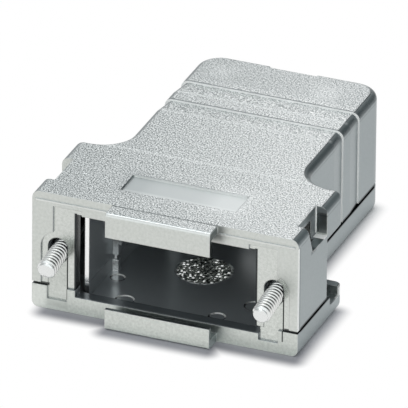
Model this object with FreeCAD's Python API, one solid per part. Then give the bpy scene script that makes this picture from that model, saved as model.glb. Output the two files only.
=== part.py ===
import FreeCAD, Part
import math
import os

# A two-part metal hood for a 15-way cable connector. X runs across the hood, Y from the connector
# end to the cable end and Z up. The origin is on the ground below the middle of the connector face.
# Every size is in millimetres.

# Outer form
BODY_WIDTH = 27.8          # narrow cable end
WING = 6.6                 # how far the wide end stands out past it on each side
WIDTH = BODY_WIDTH + 2 * WING
HEIGHT = 18.7
LENGTH = 50.2              # connector face to cable end
WING_DEPTH = 17.4          # wide end, front to back
SEAM = 3.65                # height of the lower shell
TOP_ROUND = 1.15           # long upper edges
BOTTOM_ROUND = 1.0         # long lower edges
REAR_ROUND = 3.7           # plan corners of the cable end
SHOULDER_FLAT = 1.9        # what the hollow shoulder leaves straight on the wide end's back
SHOULDER_ROUND = WING - SHOULDER_FLAT
EAR_ROUND = 1.2            # plan corner of the wide end
STEP_AT = (LENGTH - 16.1, LENGTH - 9.8)    # grip steps
STEP_RUN = 3.6
STEP_DEPTH = 0.28
STEP_SKIN = 0.002          # a grip step starts this far outside the surface
GROOVE_HIGH = 0.4          # open line along the outside of the seam
GROOVE_DEEP = 0.35

# Walls
WALL = 1.4
FRONT_WALL = 2.0
REAR_WALL = 2.6
FLOOR = 1.4
FIT_GAP = 0.05             # between a tongue and the slot that it fills
LAP_HEIGHT = 1.0
LAP_WIDTH = 0.45

# Jackscrew axes: beside the narrow end, 33.3 mm apart as on every 15-way connector
SCREW_BESIDE = 2.75
SCREW_SPACING = BODY_WIDTH + 2 * SCREW_BESIDE

# Connector opening and the panels beside it
SCREW_TO_OPENING = 2.8
OPENING_WIDTH = SCREW_SPACING - 2 * SCREW_TO_OPENING
OPENING_LOW = 2.6
OPENING_TOP = 15.85
OPENING_LOW_RIGHT = 0.75   # how much farther right the opening reaches below the seam
PANEL_DEPTH = 0.35
PANEL_PAST_SCREW = 0.65
PANEL_WIDTH = SCREW_SPACING + 2 * PANEL_PAST_SCREW
PANEL_TOP = 16.65
PANEL_LOBE = 2.5
LINE_BELOW_TOP = 1.45
LINE_SIZE = 0.14
LINE_FROM_TAB = 0.3        # start of the raised line, from the tab
LINE_END = 0.5             # its end, from the side

# Tabs that hook over the connector's flange
TAB_WIDTH = 16.1
TAB_OUT = 2.95
TAB_THICK = 0.65
TAB_ROOT = 1.3
TAB_DROP = 3.8
TAB_ROUND = 0.6
LOWER_TAB_RISE = 3.3

# Label recess
LABEL_WIDTH = 17.8
LABEL_DEPTH = 5.15
LABEL_AT = 7.38
LABEL_SINK = 0.3
LABEL_ROUND = 0.4

# Jackscrews: a 4-40 thread, tips hanging down in their slots
SCREW_R = 1.42
SCREW_TILT = 7.0
SCREW_HEIGHT = 8.9         # axis height at the connector face
SCREW_OUT = {"left": 4.3, "right": 4.9}
SCREW_THREAD = 4.2         # the full-size thread at the tip
SCREW_BODY_R = 1.25        # the plain body behind it, up to the collar
SHANK_R = 1.1
COLLAR_R = 2.1
COLLAR_AT = 7.4
COLLAR_LONG = 0.9
HEAD_AT = 16.9
HEAD_R = 2.4
HEAD_LONG = 2.5
HEAD_SLOT_WIDE = 0.8
HEAD_SLOT_DEEP = 1.1
SLOT_R = 1.52
ARCH_CENTRE = 9.98
SADDLE_GAP = 0.06
TONGUE_BACK = 0.35
TONGUE_FOOT = 1.6
FOOT_SHIFT = {"left": 0.0, "right": -0.7}
REAR_TONGUE_RISE = 1.0     # top of the rear tongues over the front ones

# Inside of the wide end
RIB_BACK = 0.21            # how far a rib's outer face stands inside the opening's side
RIB_THICK = 0.69
RIB_OUTER = OPENING_WIDTH / 2 - RIB_BACK
RIB_INNER = RIB_OUTER - RIB_THICK
RIB_START = 3.2
RIB_END = 12.7
STOP_AHEAD = 0.65          # stops for the connector's flange, ahead of the room's end
STOP_LONG = 1.2
STOP_OUT = 0.95            # how far a stop stands out from the rib
STOP_STEP = 0.45           # and how much farther above its step
STOP_STEP_AT = 5.7
STOP_OPEN = (3.2, 4.0)     # heights between which the two shells' stops leave a gap
BULKHEAD = (9.2, 11.15)
WINDOW_TOP = 13.6
WINDOW_SILL = 2.3
SILL_BACK = 1.3            # start of the low sill, behind the bulkhead
NOTCH_FRONT = (4.1, 5.5)   # at the top and at the foot of its slanting front
NOTCH_FLOOR = 14.3
NOTCH_DEEP = 1.8

# Cable end
EXIT_R = 3.7
EXIT_HEIGHT = 9.35
SADDLE_TOP = 7.2
SADDLE_R = 4.6             # under the strap, a little wider than the exit
SADDLE_HEIGHT = 9.6
REAR_CHANNEL_WIDTH = 7.6
REAR_CHANNEL_DEEP = 1.2

# Cable clamp and the screws of the hood
CLAMP_TO_END = 8.6
CLAMP_AT = LENGTH - CLAMP_TO_END
CLAMP_LONG = 4.2
CLAMP_BESIDE = 5.2         # a strap screw's axis, from the side of the narrow end
CLAMP_SPACING = BODY_WIDTH - 2 * CLAMP_BESIDE
CLAMP_SEAT = 9.4
CLAMP_THICK = 1.5
CLAMP_ARCH_R = 4.7
CLAMP_ARCH_SINK = 0.4      # how far the arch's centre lies below the seat
CLAMP_END = 2.3            # strap past a screw's axis
CLAMP_WIDTH = CLAMP_SPACING + 2 * CLAMP_END
BOSS_R = 2.5
TOWER_R = 2.9
M25_R = 1.25
M25_HOLE = 1.3
M25_CLEAR = 1.45
M25_HEAD_R = 2.1
M25_HEAD_CLEAR = 0.15
M25_HEAD_LONG = 1.5
HOLE_BOTTOM = 0.4          # what a strap screw's hole leaves above the floor
CLAMP_SCREW_LONG = 6.0
CLOSE_AT = 27.5
CLOSE_BESIDE = 4.5         # a closing screw's axis, from the side of the narrow end
CLOSE_SPACING = BODY_WIDTH - 2 * CLOSE_BESIDE
CLOSE_SINK = 1.9
CLOSE_SCREW_LONG = 8.0
DRIVE_WIDE = 0.6
DRIVE_DEEP = 0.7

# Round marks left by the mould's pins on the floor: middle and radius of each
PIN_MARK_DEEP = 0.12
PIN_MARKS = ((-7.9, 4.35, 1.35), (6.25, 4.65, 1.2), (-11.4, 10.3, 1.05), (9.95, 9.75, 1.4))

HALF = WIDTH / 2
BODY_HALF = BODY_WIDTH / 2
BODY_INNER = BODY_HALF - WALL
CEILING = HEIGHT - WALL
SCREW_X = SCREW_SPACING / 2
EPS = 1.0                  # how far a cutter runs past the face that it cuts
JOIN = 0.1                 # how far a joined solid runs into its neighbour


def box(x0, x1, y0, y1, z0, z1):
    return Part.makeBox(x1 - x0, y1 - y0, z1 - z0, FreeCAD.Vector(x0, y0, z0))


def pillar(x, y, z0, z1, radius):
    return Part.makeCylinder(radius, z1 - z0, FreeCAD.Vector(x, y, z0))


def both_sides(shape):
    twin = shape.mirror(FreeCAD.Vector(0, 0, 0), FreeCAD.Vector(1, 0, 0))
    return [shape, twin]


def upright_at(shape, x, y):
    """The vertical edges of a shape at a place in plan, and at its mirror image."""
    found = []
    for edge in shape.Edges:
        if len(edge.Vertexes) != 2:
            continue
        a, b = edge.Vertexes[0].Point, edge.Vertexes[1].Point
        same_place = abs(a.x - b.x) < 1e-4 and abs(a.y - b.y) < 1e-4
        if same_place and abs(abs(a.x) - x) < 1e-3 and abs(a.y - y) < 1e-3:
            found.append(edge)
    return found


def slab(z0, z1, inset=0.0):
    """The plan of the hood as a solid: a wide end, hollow shoulders and a round-cornered cable end.

    An inset draws the whole outline in by that much.
    """
    half = HALF - inset
    body = BODY_HALF - inset
    back = WING_DEPTH - inset
    end = LENGTH - inset
    wide = box(-half, half, inset, back, z0, z1)
    narrow = box(-body, body, back - EPS, end, z0, z1)
    solid = wide.fuse(narrow).removeSplitter()
    solid = solid.makeFillet(REAR_ROUND - inset, upright_at(solid, body, end))
    solid = solid.makeFillet(SHOULDER_ROUND + inset, upright_at(solid, body, back))
    return solid.makeFillet(EAR_ROUND - inset, upright_at(solid, half, back))


def rim(shape, level):
    """The edges that lie in one level, without those on the connector face."""
    found = []
    for edge in shape.Edges:
        bounds = edge.BoundBox
        in_level = abs(bounds.ZMin - level) < 1e-4 and abs(bounds.ZMax - level) < 1e-4
        if in_level and bounds.YMax > 1e-3:
            found.append(edge)
    return found


def section(inset, y):
    """Cross-section of the narrow end above the seam, taken in by an inset, as a closed wire."""
    half = BODY_HALF - inset
    top = HEIGHT - inset
    low = SEAM - EPS
    k = TOP_ROUND * (1 - math.cos(math.radians(45)))

    def v(x, z):
        return FreeCAD.Vector(x, y, z)

    edges = [
        Part.makeLine(v(-half, low), v(-half, top - TOP_ROUND)),
        Part.Arc(v(-half, top - TOP_ROUND), v(-half + k, top - k), v(-half + TOP_ROUND, top)).toShape(),
        Part.makeLine(v(-half + TOP_ROUND, top), v(half - TOP_ROUND, top)),
        Part.Arc(v(half - TOP_ROUND, top), v(half - k, top - k), v(half, top - TOP_ROUND)).toShape(),
        Part.makeLine(v(half, top - TOP_ROUND), v(half, low)),
        Part.makeLine(v(half, low), v(-half, low)),
    ]
    return Part.Wire(edges)


def grip_step(y):
    """What is cut away in front of one grip step: a skin that grows from nothing to the step's depth."""
    start = y - STEP_RUN
    core = Part.makeLoft([section(-STEP_SKIN, start), section(STEP_DEPTH, y)], True, True)
    ring = box(-HALF, HALF, start, y, SEAM - EPS / 2, HEIGHT + EPS)
    return ring.cut(core)


def along_screw(radius, start, end):
    """A round solid on the right jackscrew's axis; start and end are measured from the connector face."""
    tilt = math.radians(SCREW_TILT)
    axis = FreeCAD.Vector(0, math.cos(tilt), math.sin(tilt))
    face = FreeCAD.Vector(SCREW_X, 0, SCREW_HEIGHT)
    return Part.makeCylinder(radius, end - start, face + axis * start, axis)


def along_cable(radius, height, y0, y1):
    """A round solid that lies along the middle of the hood at a height."""
    return Part.makeCylinder(radius, y1 - y0, FreeCAD.Vector(0, y0, height), FreeCAD.Vector(0, 1, 0))


def arch(x, radius, centre, low, y0, y1):
    """A slot with straight sides and a half-round top, running along Y."""
    sides = box(x - radius, x + radius, y0, y1, low, centre)
    crown = Part.makeCylinder(radius, y1 - y0, FreeCAD.Vector(x, y0, centre), FreeCAD.Vector(0, 1, 0))
    return sides.fuse(crown)


def cut_all(shape, cutters):
    for cutter in cutters:
        shape = shape.cut(cutter)
    return shape


def hook_tab(shape_low, shape_high, root_low, root_high):
    """A tab that stands in front of the connector face and its root on the shell."""
    half = TAB_WIDTH / 2
    plate = box(-half, half, -TAB_OUT, -TAB_OUT + TAB_THICK, shape_low, shape_high)
    root = box(-half, half, -TAB_OUT, FRONT_WALL / 2, root_low, root_high)
    return plate.fuse(root).removeSplitter()


def front_edges(shape, level):
    """The long edge of a tab that faces forward at one level."""
    found = []
    for edge in shape.Edges:
        bounds = edge.BoundBox
        flat = abs(bounds.ZMin - level) < 1e-4 and abs(bounds.ZMax - level) < 1e-4
        if flat and abs(bounds.YMin + TAB_OUT) < 1e-4 and abs(bounds.YMax + TAB_OUT) < 1e-4:
            found.append(edge)
    return found


def flange_stop(inner, z0, z1):
    """A short ledge at the end of the room that the connector's flange comes up against."""
    start = RIB_END - STOP_AHEAD
    return box(inner, RIB_INNER + JOIN, start, start + STOP_LONG, z0, z1)


def make_upper_shell():
    shell = slab(SEAM, HEIGHT)
    shell = shell.makeFillet(TOP_ROUND, rim(shell, HEIGHT))
    shell = cut_all(shell, [grip_step(y) for y in STEP_AT])
    groove = slab(SEAM - EPS, SEAM + GROOVE_HIGH, -GROOVE_DEEP)
    groove = groove.cut(slab(SEAM - 2 * EPS, SEAM + EPS, GROOVE_DEEP))
    shell = shell.cut(groove)

    # The room for the connector and the wires
    mouth = OPENING_WIDTH / 2
    cutters = [
        box(-mouth, mouth, -EPS, FRONT_WALL + EPS / 2, SEAM - EPS, OPENING_TOP),
        box(-RIB_INNER, RIB_INNER, FRONT_WALL, RIB_END, SEAM - EPS, CEILING),
        box(-BODY_INNER, BODY_INNER, RIB_END - EPS, LENGTH - REAR_WALL, SEAM - EPS, CEILING),
    ]

    # The chamber of each jackscrew, joined to the front room ahead of the rib
    chamber = box(RIB_OUTER, HALF - WALL, FRONT_WALL, BULKHEAD[0], SEAM - EPS, CEILING)
    passage = box(RIB_INNER - EPS, RIB_OUTER + EPS, FRONT_WALL, RIB_START, SEAM - EPS, OPENING_TOP)
    cutters += both_sides(chamber) + both_sides(passage)

    # Behind the bulkhead the side is open up to the ear, which is hollow too
    window = box(BODY_HALF, HALF + EPS, BULKHEAD[1], WING_DEPTH + SHOULDER_ROUND, SEAM - EPS, WINDOW_TOP)
    ear = box(BODY_HALF + WALL / 2, HALF - WALL, BULKHEAD[1] + WALL / 2, WING_DEPTH - WALL,
              WINDOW_TOP - EPS, CEILING)
    cutters += both_sides(window) + both_sides(ear)

    # Slots that the jackscrews lie in, in the front wall and the bulkhead
    cutters += both_sides(arch(SCREW_X, SLOT_R, ARCH_CENTRE, SEAM - EPS, -EPS, FRONT_WALL + EPS / 2))
    rear_arch = SCREW_HEIGHT + math.tan(math.radians(SCREW_TILT)) * sum(BULKHEAD) / 2
    cutters += both_sides(arch(SCREW_X, SLOT_R, rear_arch, SEAM - EPS,
                               BULKHEAD[0] - EPS / 2, BULKHEAD[1] + EPS / 2))

    # Sunk panels on the front posts, widened round the screw slots
    panel = box(mouth - EPS, PANEL_WIDTH / 2, -EPS, PANEL_DEPTH, SEAM - EPS, PANEL_TOP)
    lobe = arch(SCREW_X, PANEL_LOBE, ARCH_CENTRE, SEAM - EPS, -EPS, PANEL_DEPTH)
    cutters += both_sides(panel.fuse(lobe))

    # Notches in the upper side corners, open into the chambers
    profile = [(NOTCH_FRONT[0], HEIGHT + EPS), (NOTCH_FRONT[0], HEIGHT - TOP_ROUND),
               (NOTCH_FRONT[1], NOTCH_FLOOR), (BULKHEAD[1], NOTCH_FLOOR), (BULKHEAD[1], HEIGHT + EPS)]
    corners = [FreeCAD.Vector(HALF - NOTCH_DEEP, y, z) for y, z in profile]
    outline = Part.makePolygon(corners + corners[:1])
    notch = Part.Face(outline).extrude(FreeCAD.Vector(NOTCH_DEEP + EPS, 0, 0))
    cutters += both_sides(notch)

    # Cable exit and the shallow channel above it
    cutters.append(arch(0, EXIT_R, EXIT_HEIGHT, SEAM - EPS, LENGTH - REAR_WALL - EPS, LENGTH + EPS))
    cutters.append(box(-REAR_CHANNEL_WIDTH / 2, REAR_CHANNEL_WIDTH / 2, LENGTH - REAR_CHANNEL_DEEP,
                       LENGTH + EPS, SEAM - EPS, HEIGHT + EPS))

    label = box(-LABEL_WIDTH / 2, LABEL_WIDTH / 2, LABEL_AT - LABEL_DEPTH / 2, LABEL_AT + LABEL_DEPTH / 2,
                HEIGHT - LABEL_SINK, HEIGHT + EPS)
    corners = upright_at(label, LABEL_WIDTH / 2, LABEL_AT - LABEL_DEPTH / 2)
    corners += upright_at(label, LABEL_WIDTH / 2, LABEL_AT + LABEL_DEPTH / 2)
    cutters.append(label.makeFillet(LABEL_ROUND, corners))

    # Room for the lower shell's locating strips
    lap = box(BODY_INNER - EPS, BODY_INNER + LAP_WIDTH + FIT_GAP, WING_DEPTH + SHOULDER_ROUND - FIT_GAP,
              LENGTH - REAR_ROUND + FIT_GAP, SEAM - EPS, SEAM + LAP_HEIGHT + FIT_GAP)
    cutters += both_sides(lap)
    shell = cut_all(shell, cutters)

    # Stops for the connector's flange, and bosses that the closing screws hold
    stop = flange_stop(RIB_INNER - STOP_OUT, STOP_OPEN[1], STOP_STEP_AT)
    high_stop = flange_stop(RIB_INNER - STOP_OUT - STOP_STEP, STOP_STEP_AT, CEILING + JOIN)
    boss = pillar(CLOSE_SPACING / 2, CLOSE_AT, SEAM, CEILING + JOIN, BOSS_R)
    for part in both_sides(stop.fuse(high_stop)) + both_sides(boss):
        shell = shell.fuse(part)
    screw_hole = pillar(CLOSE_SPACING / 2, CLOSE_AT, SEAM - EPS, SEAM + CLOSE_SCREW_LONG, M25_HOLE)
    shell = cut_all(shell, both_sides(screw_hole))

    # Tab and the raised lines beside it
    tab = hook_tab(HEIGHT - TAB_DROP, HEIGHT, HEIGHT - TAB_ROOT, HEIGHT)
    tab = tab.makeFillet(TAB_ROUND, front_edges(tab, HEIGHT))
    shell = shell.fuse(tab)
    line = box(TAB_WIDTH / 2 + LINE_FROM_TAB, HALF - LINE_END, -LINE_SIZE, JOIN,
               HEIGHT - LINE_BELOW_TOP, HEIGHT - LINE_BELOW_TOP + 2 * LINE_SIZE)
    for part in both_sides(line):
        shell = shell.fuse(part)
    return shell.removeSplitter()


def make_lower_shell():
    shell = slab(0, SEAM)
    shell = shell.makeFillet(BOTTOM_ROUND, rim(shell, 0))

    mouth = OPENING_WIDTH / 2
    cutters = [
        box(-mouth, mouth + OPENING_LOW_RIGHT, -EPS, FRONT_WALL + EPS / 2, OPENING_LOW, SEAM + EPS),
        box(-RIB_INNER, RIB_INNER, FRONT_WALL, RIB_END, FLOOR, SEAM + EPS),
        box(-BODY_INNER, BODY_INNER, RIB_END - EPS, LENGTH - REAR_WALL, FLOOR, SEAM + EPS),
    ]
    chamber = box(RIB_OUTER, HALF - WALL, FRONT_WALL, BULKHEAD[0], FLOOR, SEAM + EPS)
    passage = box(RIB_INNER - EPS, RIB_OUTER + EPS, FRONT_WALL, RIB_START, FLOOR, SEAM + EPS)
    pocket = box(BODY_HALF + WALL / 2, HALF - WALL, BULKHEAD[1], WING_DEPTH - WALL, FLOOR, SEAM + EPS)
    sill = box(HALF - WALL - EPS, HALF + EPS, BULKHEAD[1] + SILL_BACK, WING_DEPTH - WALL,
               WINDOW_SILL, SEAM + EPS)
    for cutter in (chamber, passage, pocket, sill):
        cutters += both_sides(cutter)
    for side, sign in (("left", -1), ("right", 1)):
        middle = sign * (SCREW_X + FOOT_SHIFT[side])
        cutters.append(box(middle - SLOT_R, middle + SLOT_R, -EPS, TONGUE_BACK, TONGUE_FOOT, SEAM + EPS))
    shell = cut_all(shell, cutters)

    # Tongues that fill the screw slots from below, each with a saddle for its screw
    half = SLOT_R - FIT_GAP
    front = box(SCREW_X - half, SCREW_X + half, TONGUE_BACK, FRONT_WALL, FLOOR - JOIN, SCREW_HEIGHT)
    front = front.cut(along_screw(SCREW_R + SADDLE_GAP, -EPS, FRONT_WALL + EPS))
    rear = box(SCREW_X - half, SCREW_X + half, BULKHEAD[0], BULKHEAD[1],
               FLOOR - JOIN, SCREW_HEIGHT + REAR_TONGUE_RISE)
    rear = rear.cut(along_screw(SHANK_R + SADDLE_GAP, BULKHEAD[0] - EPS, BULKHEAD[1] + EPS))

    # Locating strips along the narrow end, and the lower part of the stops for the connector's flange
    lap = box(BODY_INNER, BODY_INNER + LAP_WIDTH, WING_DEPTH + SHOULDER_ROUND, LENGTH - REAR_ROUND,
              SEAM - JOIN, SEAM + LAP_HEIGHT)
    stop = flange_stop(RIB_INNER - STOP_OUT, FLOOR - JOIN, STOP_OPEN[0])
    for part in both_sides(front) + both_sides(rear) + both_sides(lap) + both_sides(stop):
        shell = shell.fuse(part)

    # Rear tongue with the lower part of the cable exit, and the cable saddle below the clamp
    exit_half = EXIT_R - FIT_GAP
    rear = box(-exit_half, exit_half, LENGTH - REAR_WALL, LENGTH - REAR_CHANNEL_DEEP,
               FLOOR - JOIN, SADDLE_TOP)
    saddle = box(-exit_half, exit_half, CLAMP_AT - CLAMP_LONG / 2, CLAMP_AT + CLAMP_LONG / 2,
                 FLOOR - JOIN, SADDLE_TOP)
    rear = rear.cut(along_cable(EXIT_R, EXIT_HEIGHT, LENGTH - REAR_WALL - EPS, LENGTH + EPS))
    saddle = saddle.cut(along_cable(SADDLE_R, SADDLE_HEIGHT, WING_DEPTH, LENGTH))
    shell = shell.fuse(rear).fuse(saddle)
    channel = box(-REAR_CHANNEL_WIDTH / 2, REAR_CHANNEL_WIDTH / 2, LENGTH - REAR_CHANNEL_DEEP,
                  LENGTH + EPS, FLOOR, SEAM + EPS)
    shell = shell.cut(channel)

    # Bosses for the clamp's screws, and towers that the closing screws come up through
    clamp_boss = pillar(CLAMP_SPACING / 2, CLAMP_AT, FLOOR - JOIN, CLAMP_SEAT, BOSS_R)
    tower = pillar(CLOSE_SPACING / 2, CLOSE_AT, 0, SEAM, TOWER_R)
    for part in both_sides(clamp_boss) + both_sides(tower):
        shell = shell.fuse(part)
    clamp_hole = pillar(CLAMP_SPACING / 2, CLAMP_AT, FLOOR + HOLE_BOTTOM, CLAMP_SEAT + EPS, M25_HOLE)
    close_hole = pillar(CLOSE_SPACING / 2, CLOSE_AT, -EPS, SEAM + EPS, M25_CLEAR)
    close_sink = pillar(CLOSE_SPACING / 2, CLOSE_AT, -EPS, CLOSE_SINK, M25_HEAD_R + M25_HEAD_CLEAR)
    cutters = both_sides(clamp_hole) + both_sides(close_hole) + both_sides(close_sink)
    for x, y, radius in PIN_MARKS:
        cutters.append(pillar(x, y, FLOOR - PIN_MARK_DEEP, FLOOR + EPS / 2, radius))
    shell = cut_all(shell, cutters)

    tab = hook_tab(0, LOWER_TAB_RISE, 0, TAB_ROOT)
    shell = shell.fuse(tab.makeFillet(TAB_ROUND, front_edges(tab, 0)))
    return shell.removeSplitter()


def make_jackscrew(out):
    """A jackscrew on the right side: thread, collar, thin shank and a slotted head on one tilted axis."""
    tip = -out / math.cos(math.radians(SCREW_TILT))
    end = tip + HEAD_AT + HEAD_LONG
    screw = along_screw(SCREW_R, tip, tip + SCREW_THREAD)
    screw = screw.fuse(along_screw(SCREW_BODY_R, tip + SCREW_THREAD - JOIN, tip + COLLAR_AT + JOIN))
    screw = screw.fuse(along_screw(SHANK_R, tip + COLLAR_AT, tip + HEAD_AT + JOIN))
    screw = screw.fuse(along_screw(COLLAR_R, tip + COLLAR_AT, tip + COLLAR_AT + COLLAR_LONG))
    screw = screw.fuse(along_screw(HEAD_R, tip + HEAD_AT, end))
    slot = box(-HEAD_R - EPS, HEAD_R + EPS, end - HEAD_SLOT_DEEP, end + EPS,
               -HEAD_SLOT_WIDE / 2, HEAD_SLOT_WIDE / 2)
    slot.rotate(FreeCAD.Vector(0, 0, 0), FreeCAD.Vector(1, 0, 0), SCREW_TILT)
    slot.translate(FreeCAD.Vector(SCREW_X, 0, SCREW_HEIGHT))
    return screw.cut(slot).removeSplitter()


def small_screw(x, y, seat, length, upward):
    """A slotted cheese-head screw; its head's underside is at the seat."""
    turn = 1 if upward else -1
    head_low = seat - M25_HEAD_LONG if upward else seat
    shank_low = seat if upward else seat - length
    screw = pillar(x, y, head_low, head_low + M25_HEAD_LONG, M25_HEAD_R)
    screw = screw.fuse(pillar(x, y, shank_low, shank_low + length, M25_R))
    outer = seat - turn * M25_HEAD_LONG
    slot = box(x - M25_HEAD_R - EPS, x + M25_HEAD_R + EPS, y - DRIVE_WIDE / 2, y + DRIVE_WIDE / 2,
               outer - DRIVE_DEEP, outer + DRIVE_DEEP)
    return screw.cut(slot).removeSplitter()


def make_clamp():
    """A strap over the cable: flat ends on the bosses and an arch between them."""
    y0 = CLAMP_AT - CLAMP_LONG / 2
    y1 = CLAMP_AT + CLAMP_LONG / 2
    strap = box(-CLAMP_WIDTH / 2, CLAMP_WIDTH / 2, y0, y1, CLAMP_SEAT, CLAMP_SEAT + CLAMP_THICK)
    centre = CLAMP_SEAT - CLAMP_ARCH_SINK
    strap = strap.fuse(along_cable(CLAMP_ARCH_R + CLAMP_THICK, centre, y0, y1))
    strap = strap.common(box(-CLAMP_WIDTH / 2, CLAMP_WIDTH / 2, y0, y1, CLAMP_SEAT, CEILING))
    tunnel = along_cable(CLAMP_ARCH_R, centre, y0 - EPS, y1 + EPS)
    hole = pillar(CLAMP_SPACING / 2, CLAMP_AT, CLAMP_SEAT - EPS, CEILING, M25_CLEAR)
    return cut_all(strap, [tunnel] + both_sides(hole)).removeSplitter()


jackscrew_right = make_jackscrew(SCREW_OUT["right"])
jackscrew_left = both_sides(make_jackscrew(SCREW_OUT["left"]))[1]
clamp_screws = [small_screw(side * CLAMP_SPACING / 2, CLAMP_AT, CLAMP_SEAT + CLAMP_THICK,
                            CLAMP_SCREW_LONG, False) for side in (-1, 1)]
closing_screws = [small_screw(side * CLOSE_SPACING / 2, CLOSE_AT, CLOSE_SINK,
                              CLOSE_SCREW_LONG, True) for side in (-1, 1)]

nodes = {
    "upper_shell": make_upper_shell(),
    "lower_shell": make_lower_shell(),
    "jackscrew_right": jackscrew_right,
    "jackscrew_left": jackscrew_left,
    "cable_clamp": make_clamp(),
    "clamp_screws": Part.makeCompound(clamp_screws),
    "closing_screws": Part.makeCompound(closing_screws),
}

os.makedirs("parts", exist_ok=True)
for name, shape in nodes.items():
    shape.exportStep("parts/" + name + ".step")
    print(name, "solids", len(shape.Solids), "valid", shape.isValid(), "volume mm3", round(shape.Volume, 1))
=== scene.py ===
# %% [markdown]
# # A metal hood for a cable connector
#
# The hood is two zinc castings, plated with nickel, that close round the rear of a connector. Two
# loose jackscrews hang out of slots in the front. The solids come from the CAD model, so this
# lesson gives them their finish, cuts real threads on the jackscrews, and builds the light of a
# small product table.
#
# The CAD model is loaded first. Every size that the scene uses is taken from it or written in
# millimetres, because a casting's drawing is in millimetres too.

import math

import bmesh
import bpy
from mathutils import Matrix, Vector


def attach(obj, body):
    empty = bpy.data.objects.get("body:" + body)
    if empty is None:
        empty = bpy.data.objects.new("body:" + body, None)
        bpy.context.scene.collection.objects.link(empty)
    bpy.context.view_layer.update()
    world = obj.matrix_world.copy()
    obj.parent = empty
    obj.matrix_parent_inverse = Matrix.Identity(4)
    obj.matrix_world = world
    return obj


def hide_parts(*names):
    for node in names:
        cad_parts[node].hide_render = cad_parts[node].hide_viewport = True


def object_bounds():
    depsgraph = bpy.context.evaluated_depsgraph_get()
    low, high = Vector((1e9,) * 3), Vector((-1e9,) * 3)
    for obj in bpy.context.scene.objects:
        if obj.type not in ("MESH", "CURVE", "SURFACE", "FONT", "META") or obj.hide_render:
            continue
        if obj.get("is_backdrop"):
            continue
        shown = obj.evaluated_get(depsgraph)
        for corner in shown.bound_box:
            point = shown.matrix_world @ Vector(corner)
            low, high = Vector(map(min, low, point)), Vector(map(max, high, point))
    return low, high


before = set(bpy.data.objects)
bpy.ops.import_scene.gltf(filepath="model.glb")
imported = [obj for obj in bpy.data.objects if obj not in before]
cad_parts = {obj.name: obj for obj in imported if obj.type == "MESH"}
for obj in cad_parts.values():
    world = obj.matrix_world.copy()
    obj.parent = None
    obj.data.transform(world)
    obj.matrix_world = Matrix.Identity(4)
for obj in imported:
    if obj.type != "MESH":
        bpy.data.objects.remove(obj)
cad_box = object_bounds()
MM = 0.001
size = (cad_box[1] - cad_box[0]) / MM
print("hood across, along and up: %.1f, %.1f, %.1f mm" % tuple(size))

# %% [markdown]
# ## Two small helpers
#
# A colour is picked from a photograph or a paint card as a hex value. That value is made for
# screens, so it is bent by a curve that a renderer doesn't use. One function straightens it.
#
# A material is a net of nodes. Building it by hand is many lines of the same kind, so one
# function adds a node, sets it up and links what feeds it.

# %% Helpers for colours and nodes
# Short names for the kinds of node that come up again and again. A range node's inputs are, in
# order, the value, the two ends that it comes from, and the two that it goes to: 0 and 1 if unset.
MATH, VECTOR = "ShaderNodeMath", "ShaderNodeVectorMath"
SPLIT, JOIN = "ShaderNodeSeparateXYZ", "ShaderNodeCombineXYZ"
RANGE, NOISE, MIX = "ShaderNodeMapRange", "ShaderNodeTexNoise", "ShaderNodeMix"


def linear(hex_value):
    """A hex colour as the linear numbers that a shader expects."""
    channels = [int(hex_value[i:i + 2], 16) / 255 for i in (1, 3, 5)]
    straight = [c / 12.92 if c <= 0.04045 else ((c + 0.055) / 1.055) ** 2.4 for c in channels]
    return (*straight, 1.0)


def add(tree, kind, feeds=None, **settings):
    """Adds a node. Settings are its properties; feeds gives its inputs a value or a socket."""
    node = tree.nodes.new(kind)
    for name, value in settings.items():
        setattr(node, name, value)
    for name, value in (feeds or {}).items():
        if isinstance(value, bpy.types.NodeSocket):
            tree.links.new(value, node.inputs[name])
        else:
            node.inputs[name].default_value = value
    return node


print("the plating's grey, straightened:", [round(c, 3) for c in linear("#c6cacb")[:3]])

# %% [markdown]
# ## The places on the castings
#
# One casting has several finishes. The die is etched where the top is, so the top comes out like
# fine leather. The sunk field for a label, the fronts and the sides are polished in the die. The
# rooms inside are painted darker, as painted shade where little light gets in.
#
# A mask for such a place is a box with soft edges, measured in the object's own millimetres. Its
# value is 1 inside, 0 outside, and it fades over the given distance. Masks can then be joined, cut
# out of each other or made weaker, and a colour can change where a mask is.

# %% Masks in the object's own millimetres
def past_sides(tree, place, low, high):
    """How far a point is past a box's sides along x, y and z, in millimetres; below 0 inside."""
    middle = [(a + b) / 2 for a, b in zip(low, high)]
    half = [(b - a) / 2 for a, b in zip(low, high)]
    away = add(tree, VECTOR, {0: place, 1: middle}, operation="SUBTRACT").outputs[0]
    away = add(tree, VECTOR, {0: away}, operation="ABSOLUTE").outputs[0]
    return add(tree, VECTOR, {0: away, 1: half}, operation="SUBTRACT").outputs[0]


def in_box(tree, place, low, high, soft):
    """1 inside a box, 0 outside it, with a soft border."""
    part = add(tree, SPLIT, {0: past_sides(tree, place, low, high)}).outputs
    far = add(tree, MATH, {0: part[0], 1: part[1]}, operation="MAXIMUM").outputs[0]
    far = add(tree, MATH, {0: far, 1: part[2]}, operation="MAXIMUM").outputs[0]
    return add(tree, RANGE, {0: far, 1: -soft, 2: soft, 3: 1.0, 4: 0.0},
               interpolation_type="SMOOTHSTEP").outputs[0]


def outside(tree, place, low, high):
    """How far a point is from a box, in millimetres; 0 inside it."""
    away = past_sides(tree, place, low, high)
    away = add(tree, VECTOR, {0: away, 1: (0.0, 0.0, 0.0)}, operation="MAXIMUM").outputs[0]
    return add(tree, VECTOR, {0: away}, operation="LENGTH").outputs[1]


def any_of(tree, *masks):
    """Where any of the masks is."""
    whole = masks[0]
    for mask in masks[1:]:
        whole = add(tree, MATH, {0: whole, 1: mask}, operation="MAXIMUM").outputs[0]
    return whole


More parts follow.
